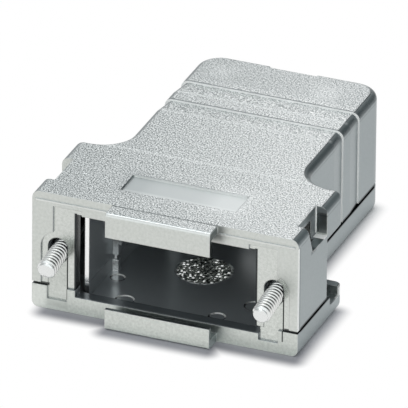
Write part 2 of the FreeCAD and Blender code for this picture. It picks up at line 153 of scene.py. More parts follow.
def all_of(tree, *masks):
    """Where all of the masks are; a plain number among them makes the result weaker."""
    whole = masks[0]
    for mask in masks[1:]:
        whole = add(tree, MATH, {0: whole, 1: mask}, operation="MULTIPLY").outputs[0]
    return whole


def without(tree, mask, taken):
    """The first mask where the second one isn't."""
    left = add(tree, MATH, {0: 1.0, 1: taken}, operation="SUBTRACT").outputs[0]
    return all_of(tree, mask, left)


def tint(tree, mask, plain, marked):
    """A colour or colour socket that changes to another one where the mask is."""
    return add(tree, MIX, {0: mask, 6: plain, 7: marked}, data_type="RGBA").outputs[2]


print("masks are measured in millimetres, 1 unit =", MM, "m")

# %% [markdown]
# ## How a metal's tree starts and ends
#
# Every finish starts with the place on the piece in millimetres and ends with a bump and a shader.
# In between, a bevel node rounds the sharp edges of the solids for the light alone, as tumbling
# rounds real metal. Where the rounded surface leans away from the true one there is an edge, and
# that is where a painted highlight goes.

# %% Start, edges and end of a material
def start_material(name, slot_colour):
    """An empty material, its tree, and the place in millimetres."""
    material = bpy.data.materials.new(name)
    material.use_nodes = True
    material.diffuse_color = linear(slot_colour)
    tree = material.node_tree
    tree.nodes.clear()
    where = add(tree, "ShaderNodeTexCoord").outputs["Object"]
    place = add(tree, VECTOR, {0: where, "Scale": 1 / MM}, operation="SCALE").outputs[0]
    return material, tree, place


def round_edges(tree, radius, flat, sharp):
    """The surface with rounded edges, and a mask of those edges.

    flat and sharp say how alike both surfaces are, as a cosine, where the mask starts and is full.
    """
    rounded = add(tree, "ShaderNodeBevel", {"Radius": radius * MM}, samples=4).outputs[0]
    true_face = add(tree, "ShaderNodeNewGeometry").outputs["Normal"]
    alike = add(tree, VECTOR, {0: rounded, 1: true_face}, operation="DOT_PRODUCT").outputs[1]
    return rounded, add(tree, RANGE, {0: alike, 1: flat, 2: sharp}).outputs[0]


def end_metal(tree, colour, rough, metal, height, rounded):
    """The bump, the shader and the output. Heights are in millimetres, so 1 of them is 1 mm."""
    bump = add(tree, "ShaderNodeBump",
               {"Height": height, "Distance": MM, "Normal": rounded}).outputs[0]
    shader = add(tree, "ShaderNodeBsdfPrincipled",
                 {"Base Color": colour, "Metallic": metal, "Roughness": rough, "Normal": bump})
    add(tree, "ShaderNodeOutputMaterial", {0: shader.outputs[0]})


EDGE = 0.16           # mm, rounding of the castings' edges
STEEL_EDGE = 0.06     # mm, rounding of the steel parts' edges
print("edges are rounded by %.2f mm on the castings and %.2f mm on steel" % (EDGE, STEEL_EDGE))

# %% [markdown]
# ## Painted light and shade, and other marks
#
# A real casting is never one even grey. Soft ridges across the top get painted highlights, the
# steps and the seam get painted shade, and the cable end is duller. Each such mark is one line
# in a list: a box, how soft it is, how strong, and its colour. A material walks through its list
# and tints one box after the other. The two castings meet at the seam, so what lies there is in a
# third list that both of them get.

# %% The castings' marks
RIDGE_SHEEN = (17.2, 30.7, 36.9)   # mm from the connector face: painted highlights on soft ridges across the top
RISERS = (34.1, 40.4)         # mm: the backs of the grip steps
# Painted highlight on the ridges, painted shade behind the steps and in the gaps
PALE, STEP_SHADE, GAP_SHADE = "#edf1f1", "#747b7c", "#15181a"

# Low corner, high corner and soft border in mm, strength, colour
UPPER_MARKS = [((-21, y - 0.15, 18.7), (21, y + 0.15, 19.0), 0.4, 0.60, PALE) for y in RIDGE_SHEEN]
UPPER_MARKS += [((-14, y + 0.05, 18.5), (14, y + 0.30, 19.0), 0.06, 0.90, STEP_SHADE) for y in RISERS]
UPPER_MARKS += [
    ((-14.0, 42.0, 18.3), (14.0, 50.5, 19.0), 1.0, 0.30, "#8d9495"),   # the cable end is duller,
    ((6.0, 43.0, 18.3), (8.0, 46.0, 19.0), 2.5, 0.45, "#f4f7f7"),      # with two pale clouds
    ((-10.5, 44.0, 18.3), (-8.5, 46.0, 19.0), 2.5, 0.35, "#f0f3f3"),
    ((-8.8, 4.9, 18.3), (8.8, 5.8, 18.6), 0.25, 0.60, "#dde1e1"),      # painted highlight in front of the label field
    ((-8.8, 9.98, 18.5), (8.8, 10.16, 19.0), 0.05, 0.60, "#7a8182"),   # painted shade behind it
    ((-9.0, 4.9, 18.3), (-6.5, 9.9, 18.6), 3.0, 0.40, "#8f9698"),      # painted shade at its left end
    ((5.5, 4.9, 18.3), (9.0, 9.9, 18.6), 4.0, 0.55, "#f2f5f5"),        # painted sheen at its right end
    ((8.84, 4.9, 18.3), (9.00, 9.9, 19.0), 0.05, 0.40, "#8d9495"),     # painted shade right of it
    ((-8.0, -2.96, 18.30), (8.0, -2.55, 18.8), 0.1, 0.30, "#ffffff"),  # painted highlight on the tab's rounded front
    ((18.5, 7.5, 14.4), (18.75, 11.0, 18.5), 0.4, 0.60, "#555b5c"),    # painted shade in the notch: its inner wall,
    ((18.9, 11.0, 14.5), (20.4, 11.3, 18.4), 0.05, 0.80, "#6f7475"),   # the ear behind it
    ((18.8, 5.0, 14.1), (20.6, 6.9, 14.5), 0.3, 0.80, "#3c4244"),      # and the front of its floor
    ((-8.1, -0.32, 18.5), (8.1, -0.04, 19.0), 0.06, 0.85, "#6a7172"),  # painted shade at the root of the tab
    ((-8.2, -2.7, 18.2), (-8.0, 0.0, 19.0), 0.04, 0.80, "#5a6162"),    # painted shade on its left side
    ((8.0, -2.8, 15.0), (8.2, -0.1, 18.4), 0.06, 0.75, "#434b4b"),     # and its right side
    ((20.2, 0.50, 4.1), (20.7, 0.85, 17.3), 0.05, 0.70, "#737b7d"),    # painted shade behind the front edge
    ((-20.0, -0.3, 17.20), (20.0, 0.05, 17.40), 0.04, 0.70, "#f0f2ef"),  # painted highlight on a line across the front
    ((-14.1, 0.1, 2.6), (-13.7, 2.2, 16.0), 0.05, 0.95, "#23282b"),    # painted shade on the sides of the opening
    ((13.7, 0.1, 2.6), (14.1, 2.2, 16.0), 0.05, 0.95, "#23282b"),
    ((12.5, 1.0, 17.22), (20.7, 49.0, 17.40), 0.05, 0.60, "#6b7375"),  # painted shade at the foot of the long rounding
]
LOWER_MARKS = [
    ((-20.3, -0.3, 0.4), (-15.5, 0.05, 3.3), 0.8, 0.60, "#e6e9e5"),    # painted light on the left foot of the front
    ((-18.3, -0.3, 0.5), (-15.0, 0.4, 9.0), 0.3, 0.40, "#a4a8a3"),     # painted shade on the left tongue
    ((-13.9, 0.3, 1.2), (14.7, 2.6, 3.2), 0.15, 0.80, "#4a5155"),      # painted shade on the lip of the opening
]

# The open line along the seam holds a painted shadow, on the sides of the wide part and the narrow
# one
SEAM_MARKS = []
for side_x, front_y, rear_y in ((20.15, 0.05, 17.35), (13.55, 17.5, 47.0)):
    for sign in (-1, 1):
        inner, outer = sorted((sign * side_x, sign * (side_x + 0.30)))
        SEAM_MARKS.append(((inner - 0.02, front_y, 3.64), (outer + 0.02, rear_y, 4.06),
                           0.02, 0.95, GAP_SHADE))
# On the right the painted shadow is wider
for low_x, high_x, front_y, rear_y in ((20.3, 20.7, 1.0, 17.3), (13.4, 14.2, 17.6, 47.0)):
    SEAM_MARKS.append(((low_x, front_y, 3.50), (high_x, rear_y, 4.28), 0.10, 0.95, "#2c3335"))
# It goes on across the front, outside the tongues
for low_x, high_x in ((-20.4, -17.9), (18.3, 20.4)):
    SEAM_MARKS.append(((low_x, 0.03, 3.64), (high_x, 0.36, 4.06), 0.02, 0.95, GAP_SHADE))
# A painted shadow runs up the gap on the right side of each tongue
for gap_x in (-15.13, 18.17):
    SEAM_MARKS.append(((gap_x - 0.12, -0.3, 2.0), (gap_x + 0.08, 0.6, 8.6), 0.04, 0.90, "#1c2022"))
UPPER_MARKS += SEAM_MARKS
LOWER_MARKS += SEAM_MARKS
print("marks on the upper casting:", len(UPPER_MARKS), "and on the lower:", len(LOWER_MARKS))

# %% [markdown]
# ## The rooms inside
#
# Little light gets into the rooms, so their walls are painted darker, as painted shade, and drawn
# smoother. A few faces in there look out of the opening: the stops and the ribs. A die has to let
# go of its casting, so such faces lean a little, and that makes them mirror the white table. They
# are also painted near white, as a painted highlight. The solids don't lean, so this draft is drawn
# as a slope in the bump, rising with the distance from the middle. It is drawn steeper than a real
# one, so that it shows.

# %% Rooms and draft
DRAFT = 0.3           # slope of the faces inside that look out
DRAFT_FROM = 13.0     # mm from the middle plane


def rooms(tree, place, facing):
    """Masks of the rooms, of all that faces the front, and of what does both; and its draft."""
    wide = in_box(tree, place, (-19.2, 0.08, 1.0), (19.2, 16.2, 17.6), 0.06)
    narrow = in_box(tree, place, (-13.2, 10.0, 1.0), (13.2, 49.0, 17.6), 0.06)
    front = add(tree, RANGE, {0: facing[1], 1: -0.3, 2: -0.9},
                interpolation_type="SMOOTHSTEP").outputs[0]
    deep = in_box(tree, place, (-13.75, 2.6, 1.0), (13.75, 16.5, 17.6), 0.1)
    looking_out = all_of(tree, deep, front)
    aside = add(tree, SPLIT, {0: place}).outputs[0]
    aside = add(tree, MATH, {0: aside}, operation="ABSOLUTE").outputs[0]
    aside = add(tree, MATH, {0: aside, 1: DRAFT_FROM}, operation="SUBTRACT").outputs[0]
    draft = all_of(tree, aside, DRAFT, looking_out)
    return any_of(tree, wide, narrow), front, looking_out, draft


print("the drawn draft leans those faces by %.0f degrees" % math.degrees(math.atan(DRAFT)))

# %% [markdown]
# ## The etched top
#
# Acid eats a fine leather grain into the die, and the casting copies it: pits and bumps about
# 0.2 mm apart and up to 0.1 mm deep. The grain is drawn with two noises, one the size of the pits
# and one twice as wide. Both make a bump, and the finer one also goes clearly into the colour, as
# painted shade in the pits and painted light on the bumps. A painted sheen pales the top.
#
# The sunk field for a label is smooth and spreads the light more. The long roundings beside the top
# are smooth too. They mirror the dark side of the room, so they are drawn darker and less metallic.
# Some edges of this casting and a few walls that catch the lamp get painted highlights. The sides
# that face left are painted darker, as painted shade.

# %% Top, roundings and bright edges of the upper casting
GRAIN = 0.21          # mm, from pit to pit
GRAIN_DEEP = 0.10     # mm
SHEEN_WAY = (1.0, 0.35, 0.0)   # a painted sheen pales the top this way, to the right and a little to the rear,
SHEEN_ENDS = (-17.0, 19.0)     # mm along it


def etched_top(tree, place, facing, colour):
    """The new colour, the grain's relief, and masks of grain, label field and roundings."""
    up = add(tree, RANGE, {0: facing[2], 1: 0.95, 2: 0.995},
             interpolation_type="SMOOTHSTEP").outputs[0]
    top = all_of(tree, up, in_box(tree, place, (-21.0, -3.5, 17.9), (21.0, 51.0, 19.0), 0.1))
    label = in_box(tree, place, (-8.9, 4.8, 17.0), (8.9, 9.96, 19.5), 0.03)
    grain = without(tree, top, label)
    pits = add(tree, NOISE, {"Vector": place, "Scale": 1 / GRAIN, "Detail": 1.0,
                             "Roughness": 0.40}).outputs[0]
    wide_pits = add(tree, NOISE, {"Vector": place, "Scale": 0.5 / GRAIN, "Detail": 1.0}).outputs[0]
    relief = add(tree, MATH, {0: pits, 1: wide_pits}, operation="ADD").outputs[0]
    relief = all_of(tree, relief, GRAIN_DEEP, grain)

    # A painted sheen pales the top; in its tones the pits get painted shade, the bumps painted
    # light
    sheen_across = add(tree, VECTOR, {0: place, 1: SHEEN_WAY}, operation="DOT_PRODUCT").outputs[1]
    sheen_across = add(tree, RANGE, {0: sheen_across, 1: SHEEN_ENDS[0], 2: SHEEN_ENDS[1]}).outputs[0]
    colour = tint(tree, top, colour, tint(tree, sheen_across, linear("#b3babb"), linear("#d2d6d6")))
    pit_shade = tint(tree, sheen_across, linear("#5e6667"), linear("#8f9697"))
    bump_light = tint(tree, sheen_across, linear("#e2e7e7"), linear("#f7f9f9"))
    speck = add(tree, RANGE, {0: pits, 1: 0.38, 2: 0.62}).outputs[0]
    specks = tint(tree, speck, pit_shade, bump_light)
    colour = tint(tree, all_of(tree, grain, 0.95), colour, specks)

    steep = add(tree, RANGE, {0: facing[2], 1: 0.05, 2: 0.25}).outputs[0]
    long_one = in_box(tree, place, (12.0, 17.0, 17.3), (14.4, 51.0, 19.0), 0.2)
    long_one = without(tree, all_of(tree, steep, long_one), top)
    colour = tint(tree, all_of(tree, long_one, 0.9), colour, linear("#4e5759"))
    wing_one = in_box(tree, place, (18.0, 0.1, 17.75), (21.0, 17.3, 18.68), 0.10)
    wing_one = without(tree, wing_one, top)
    colour = tint(tree, all_of(tree, wing_one, 0.8), colour, linear("#5f696b"))
    # The sides that face left are painted darker, as painted shade
    left_side = add(tree, RANGE, {0: facing[0], 1: -0.2, 2: -0.5}).outputs[0]
    colour = tint(tree, all_of(tree, left_side, 0.7), colour, linear("#565d5f"))
    return colour, relief, grain, all_of(tree, top, label), any_of(tree, long_one, wing_one)


def painted_highlight_edges(tree, place, front, edge):
    """A mask of the painted highlights on the upper casting."""
    risers = [in_box(tree, place, (-15, y - 0.2, 3), (15, y + 0.2, 19), 0.05) for y in RISERS]
    ear = in_box(tree, place, (18.5, 5.0, 14.0), (21, 8.2, 19), 0.1)
    front_edge = in_box(tree, place, (20.42, 0.0, 4.1), (20.7, 0.45, 17.3), 0.02)
    notch_corner = in_box(tree, place, (18.6, 11.05, 14.35), (18.84, 11.3, 18.6), 0.02)
    notch_floor = in_box(tree, place, (18.8, 9.8, 14.2), (20.6, 11.1, 14.36), 0.03)
    label_wall = in_box(tree, place, (-8.8, 9.86, 18.40), (8.8, 9.99, 18.69), 0.03)
    return any_of(tree, all_of(tree, any_of(tree, *risers), front), all_of(tree, edge, ear),
                  front_edge, notch_corner, notch_floor, all_of(tree, label_wall, 0.6))


print("grain: %.2f mm from pit to pit, %.2f mm deep" % (GRAIN, GRAIN_DEEP))

# %% [markdown]
# ## The lower casting's floor
#
# Round pins push the casting out of its die, and each leaves a thin ring on the floor. The near
# half of a ring is painted dark, as painted shade, and the far half gets a painted highlight.
#
# Further in is a round rough patch that sparkles. It is drawn with cells of a Voronoi pattern.
# Most of them are crumbs of different heights. Some, chosen by chance and a little in clusters, tip
# over into steep facets of metal, painted near white as a painted highlight, which mirror the light
# in front of the opening.

# %% Rings and rough patch
FLOOR = 1.4           # mm, its height
FLOOR_RINGS = ((-7.9, 4.35, 1.35), (6.25, 4.65, 1.2), (-11.4, 10.3, 1.05), (9.95, 9.75, 1.4))
RING_FADE = (0.16, 0.06)      # mm from a ring's line: where it ends, where it is full
RING_HEIGHT = (0.3, 0.2)      # mm above or below the floor: likewise
PATCH = (-0.7, 17.0, FLOOR)   # mm, middle of the rough patch
PATCH_FADE = (4.3, 3.7)       # mm from there: where it ends, where it is full
CELLS = 1.7           # cells of the patch in a millimetre
CRUMB = 2.4           # the crumbs' steepness
FACET = 3.0           # the facets' steepness


def floor_ring(tree, place, x, y, radius):
    """Masks of a thin ring on the floor and of what lies behind its middle."""
    away = add(tree, VECTOR, {0: place, 1: (x, y, FLOOR)}, operation="SUBTRACT").outputs[0]
    part = add(tree, SPLIT, {0: away}).outputs
    flat = add(tree, JOIN, {0: part[0], 1: part[1]}).outputs[0]
    far = add(tree, VECTOR, {0: flat}, operation="LENGTH").outputs[1]
    far = add(tree, MATH, {0: far, 1: radius}, operation="SUBTRACT").outputs[0]
    far = add(tree, MATH, {0: far}, operation="ABSOLUTE").outputs[0]
    ring = add(tree, RANGE, {0: far, 1: RING_FADE[0], 2: RING_FADE[1]}).outputs[0]
    level = add(tree, MATH, {0: part[2]}, operation="ABSOLUTE").outputs[0]
    level = add(tree, RANGE, {0: level, 1: RING_HEIGHT[0], 2: RING_HEIGHT[1]}).outputs[0]
    behind = add(tree, RANGE, {0: part[1], 1: 0.0, 2: 0.5 * radius}).outputs[0]
    return all_of(tree, ring, level), behind


def cast_floor(tree, place, colour):
    """The new colour, the patch's relief, and masks of the patch and of its painted highlights."""
    patch = add(tree, VECTOR, {0: place, 1: PATCH}, operation="DISTANCE").outputs[1]
    patch = add(tree, RANGE, {0: patch, 1: PATCH_FADE[0], 2: PATCH_FADE[1]}).outputs[0]
    patch = all_of(tree, patch, in_box(tree, place, (-6.0, 11.0, 0.7), (5.0, 22.0, 2.0), 0.1))
    cells = add(tree, "ShaderNodeTexVoronoi", {"Vector": place, "Scale": CELLS}).outputs
    chance = add(tree, SPLIT, {0: cells["Color"]}).outputs
    crumbs = all_of(tree, cells["Distance"], CRUMB, chance[1], patch)

    cluster = add(tree, NOISE, {"Vector": place, "Scale": 0.45, "Detail": 1.0}).outputs[0]
    cluster = add(tree, RANGE, {0: cluster, 1: 0.3, 2: 0.7, 3: -0.25, 4: 0.25}).outputs[0]
    chosen = add(tree, MATH, {0: chance[0], 1: cluster}, operation="ADD").outputs[0]
    chosen = add(tree, RANGE, {0: chosen, 1: 0.62, 2: 0.65}).outputs[0]
    core = add(tree, RANGE, {0: cells["Distance"], 1: 0.48, 2: 0.34}).outputs[0]
    glint = all_of(tree, chosen, core, patch)
    in_cell = add(tree, VECTOR, {0: place, 1: cells["Position"]}, operation="SUBTRACT").outputs[0]
    rising = add(tree, SPLIT, {0: in_cell}).outputs[1]
    facet = all_of(tree, rising, FACET, glint)
    crumbs = without(tree, crumbs, glint)
    relief = add(tree, MATH, {0: crumbs, 1: facet}, operation="ADD").outputs[0]
    colour = tint(tree, all_of(tree, patch, 0.9), colour, linear("#c9cbc5"))
    # The facets are painted near white, a painted highlight
    colour = tint(tree, glint, colour, linear("#fdfdfb"))

    # The seam's rear corner on the right catches the light too
    corner = in_box(tree, place, (20.25, 14.8, 2.2), (20.7, 17.4, 3.66), 0.05)
    bright = all_of(tree, corner, 0.8)
    for x, y, radius in FLOOR_RINGS:
        ring, behind = floor_ring(tree, place, x, y, radius)
        colour = tint(tree, ring, colour, linear(GAP_SHADE))
        bright = any_of(tree, bright, all_of(tree, ring, behind))
    return colour, relief, patch, bright


print("rings on the floor:", len(FLOOR_RINGS), "and a patch, %.1f mm wide" % (2 * PATCH_FADE[0]))

# %% [markdown]
# ## Nickel-plated zinc, die cast
#
# Zinc fills a steel die under pressure and copies every scratch of it. Nickel on top gives a cool
# grey metal with a soft gleam. The metal's flow leaves slow changes of tone, and the fronts, which
# face the light of the table, are drawn paler than the sides.
#
# The two castings share this finish, so one function makes both. The upper one gets the etched top
# and the lower one the floor, each in its own step above.

# %% The castings' plating
SATIN = 0.004         # mm, the height of the fine unevenness everywhere


def cast_nickel(name, upper):
    """Nickel-plated zinc die casting; the upper one has an etched top, the lower one a floor."""
    material, tree, place = start_material(name, "#bfc4c5")
    facing = add(tree, SPLIT, {0: add(tree, "ShaderNodeTexCoord").outputs["Normal"]}).outputs
    rounded, edge = round_edges(tree, EDGE, 0.995, 0.85)
    room, front, looking_out, draft = rooms(tree, place, facing)
    # The walls inside that don't face the front get painted shade
    room_shade = without(tree, room, front)

    # The flow of the metal, a mottle on the fronts, and a fine unevenness
    flow = add(tree, NOISE, {"Vector": place, "Scale": 0.11, "Detail": 2.0}).outputs[0]
    mottle = add(tree, NOISE, {"Vector": place, "Scale": 2.4, "Detail": 4.0,
                               "Roughness": 0.65}).outputs[0]
    mottle = add(tree, RANGE, {0: mottle, 1: 0.33, 2: 0.67}).outputs[0]
    fine = add(tree, NOISE, {"Vector": place, "Scale": 5.0, "Detail": 3.0}).outputs[0]
    side_tone = tint(tree, flow, linear("#8f989a"), linear("#99a1a3"))
    darker, lighter = ("#c6cac5", "#d4d7d3") if upper else ("#c0c4bf", "#d5d9d4")
    front_tone = tint(tree, mottle, linear(darker), linear(lighter))
    colour = tint(tree, front, side_tone, front_tone)
    rough = add(tree, RANGE, {0: fine, 1: 0.3, 2: 0.7, 3: 0.30, 4: 0.40}).outputs[0]

    if upper:
        colour, relief, grain, field, roundings = etched_top(tree, place, facing, colour)
        rough = add(tree, MIX, {0: grain, 2: rough, 3: 0.42}).outputs[0]
        rough = add(tree, MIX, {0: field, 2: rough, 3: 0.50}).outputs[0]
    rough = add(tree, MIX, {0: room, 2: rough, 3: 0.22}).outputs[0]
    # A painted highlight on the rounded edges outside the rooms
    edge_highlight = all_of(tree, without(tree, edge, room), 0.5)
    colour = tint(tree, edge_highlight, colour, linear("#e0e3e3"))
    # Painted shade on the walls inside; faces inside that look out are painted near white
    colour = tint(tree, room_shade, colour, linear("#9ca2a5"))
    colour = tint(tree, looking_out, colour, linear("#f4f5f3"))
    for low, high, soft, strength, shade in (UPPER_MARKS if upper else LOWER_MARKS):
        mark = in_box(tree, place, low, high, soft)
        colour = tint(tree, all_of(tree, mark, strength), colour, linear(shade))

    # The dark rooms and roundings are less metallic, so they don't mirror the lamps
    metal = without(tree, room_shade, looking_out)
    metal = add(tree, RANGE, {0: metal, 3: 1.0, 4: 0.45}).outputs[0]
    if upper:
        bright = painted_highlight_edges(tree, place, front, edge)
        metal = without(tree, metal, all_of(tree, roundings, 0.6))
    else:
        colour, relief, patch, bright = cast_floor(tree, place, colour)
        metal = any_of(tree, metal, patch)
    # The painted highlights are near white and not metallic
    metal = without(tree, metal, bright)
    colour = tint(tree, bright, colour, linear("#fafbf9"))

    height = all_of(tree, fine, SATIN)
    height = add(tree, MATH, {0: height, 1: draft}, operation="ADD").outputs[0]
    height = add(tree, MATH, {0: height, 1: relief}, operation="ADD").outputs[0]
    end_metal(tree, colour, rough, metal, height, rounded)
    return material


upper_metal = cast_nickel("nickel_plated_zinc_die_cast_etched", True)
lower_metal = cast_nickel("nickel_plated_zinc_die_cast_smooth", False)
print("castings:", upper_metal.name, "and", lower_metal.name)

# %% [markdown]
# ## Turned and pressed steel
#
# The jackscrews and the small screws are turned from steel bar and plated bright. Turning leaves
# fine rings, far too fine to show, so they are drawn about 0.15 mm apart. The strap over the cable
# is pressed from strip and brushed along its length.
#
# A thread's root is painted darker, as the shade of its crests. On a screw's upper right it is
# painted near black, as a painted reflection of the dark opening, which makes dark gaps between
# bright crests. On the other side it is painted pale grey, as a painted reflection of the white
# table. The tips, where the thread ends in a chamfer, are plain bright metal.

# %% The screws' and the strap's steel
TILT = math.radians(7.0)   # the jackscrews' tips hang down
SCREW_X = 16.65            # mm, their axes from the middle
SCREW_HEIGHT = 8.9         # mm, their axes at the connector face
CREST = 1.42               # mm, the thread's outer radius
UPPER_RIGHT = (0.45, 0.89, 0.0)   # across a jackscrew, towards the gaps that look dark
SHADED = (0.80, 1.02)      # mm that way from the axis: where the dark starts, where it is full
TIPS = ((-19.0, -14.0, -3.80), (14.0, 19.0, -4.40))   # mm, x from and to, y where the tip ends


def off_axis(tree, place):
    """How far a point is from the nearer jackscrew's axis and to its upper right, both in mm."""
    part = add(tree, SPLIT, {0: place}).outputs
    axis_x = add(tree, MATH, {0: part[0]}, operation="SIGN").outputs[0]
    axis_x = all_of(tree, axis_x, SCREW_X)
    aside = add(tree, MATH, {0: part[0], 1: axis_x}, operation="SUBTRACT").outputs[0]
    over = add(tree, MATH, {0: part[2], 1: SCREW_HEIGHT}, operation="SUBTRACT").outputs[0]
    over = add(tree, MATH, {0: over, 1: math.cos(TILT)}, operation="MULTIPLY").outputs[0]
    lean = add(tree, MATH, {0: part[1], 1: math.sin(TILT)}, operation="MULTIPLY").outputs[0]
    over = add(tree, MATH, {0: over, 1: lean}, operation="SUBTRACT").outputs[0]
    flat = add(tree, JOIN, {0: aside, 1: over}).outputs[0]
    radius = add(tree, VECTOR, {0: flat}, operation="LENGTH").outputs[1]
    upper_right = add(tree, VECTOR, {0: flat, 1: UPPER_RIGHT}, operation="DOT_PRODUCT").outputs[1]
    return radius, upper_right


def turned_steel(name, across, threaded=False):
    """Bright plated steel; the tool marks run round the axis, so they change along it."""
    material, tree, place = start_material(name, "#d5d6d4")
    rounded, edge = round_edges(tree, STEEL_EDGE, 0.99, 0.8)
    stretch = add(tree, VECTOR, {0: place, 1: across}, operation="MULTIPLY").outputs[0]
    rings = add(tree, NOISE, {"Vector": stretch, "Scale": 1.0, "Detail": 2.0}).outputs[0]
    cloud = add(tree, NOISE, {"Vector": place, "Scale": 1.3, "Detail": 3.0}).outputs[0]
    colour = tint(tree, cloud, linear("#d6d7d5"), linear("#eeefed"))
    # A painted highlight along the rounded edges
    colour = tint(tree, all_of(tree, edge, 0.5), colour, linear("#f0f0ee"))
    if threaded:
        radius, upper_right = off_axis(tree, place)
        root = add(tree, RANGE, {0: radius, 1: CREST - 0.12, 2: CREST - 0.28}).outputs[0]
        tip = add(tree, RANGE, {0: radius, 1: 1.02, 2: 0.94}).outputs[0]
        for low_x, high_x, end_y in TIPS:
            end = in_box(tree, place, (low_x, -6.0, 5.0), (high_x, end_y, 11.0), 0.08)
            tip = any_of(tree, tip, end)
        colour = tint(tree, tip, colour, linear("#e3e5e4"))
        # The roots get painted shade: near black on the upper right, pale grey elsewhere
        shaded = add(tree, RANGE, {0: upper_right, 1: SHADED[0], 2: SHADED[1]}).outputs[0]
        gap = tint(tree, shaded, linear("#b9bcbc"), linear("#101212"))
        colour = tint(tree, without(tree, root, tip), colour, gap)
    rough = add(tree, RANGE, {0: cloud, 1: 0.3, 2: 0.7, 3: 0.14, 4: 0.22}).outputs[0]
    end_metal(tree, colour, rough, 1.0, all_of(tree, rings, 0.006), rounded)
    return material


jackscrew_steel = turned_steel("bright_plated_steel_turned", (0.5, 7.0, 0.5), threaded=True)
small_screw_steel = turned_steel("bright_plated_steel_turned_upright", (0.5, 0.5, 7.0))
strap_metal = turned_steel("nickel_plated_steel_strip_pressed", (0.5, 7.0, 7.0))

FINISHES = {
    "upper_shell": upper_metal,
    "lower_shell": lower_metal,
    "cable_clamp": strap_metal,
    "clamp_screws": small_screw_steel,
    "closing_screws": small_screw_steel,
}
for node_name, finish in FINISHES.items():
    for material_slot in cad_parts[node_name].material_slots:
        material_slot.material = finish
    print(node_name, "is", finish.name)

# %% [markdown]
# ## The jackscrews' thread
#
# A 4-40 thread has forty turns to the inch, so its pitch is 0.635 mm. It is rolled between two
# dies: the flanks lean at 60 degrees to each other, and crest and root are a little flat.
#
# A thread follows a rule, so Geometry Nodes make it. A flat grid is wrapped round the axis, and
# each point's distance from the axis comes from how far it is along the helix. The same tree makes
# both screws; only the angle at which the thread starts differs.

# %% A tree that wraps a threaded rod
PITCH = 25.4 / 40     # mm
DEEP = 0.34           # mm, crest to root
THREAD_LONG = 7.42    # mm, from the tip into the collar
TIP_INSET = 0.02      # mm, how much smaller than the root's radius the flat tip is
RINGS, SIDES = 150, 48        # the grid's points along the rod and round it
FOLD = 0.008          # share of the grid at each end that makes the flat end
RIM = 0.4999          # of the grid, which runs from -0.5 to 0.5: rings past it are folded
FLANK = (0.07, 0.42)  # turns from the middle of the root: where the flank starts and ends
NEAR = 0.002          # mm, points closer than this are one


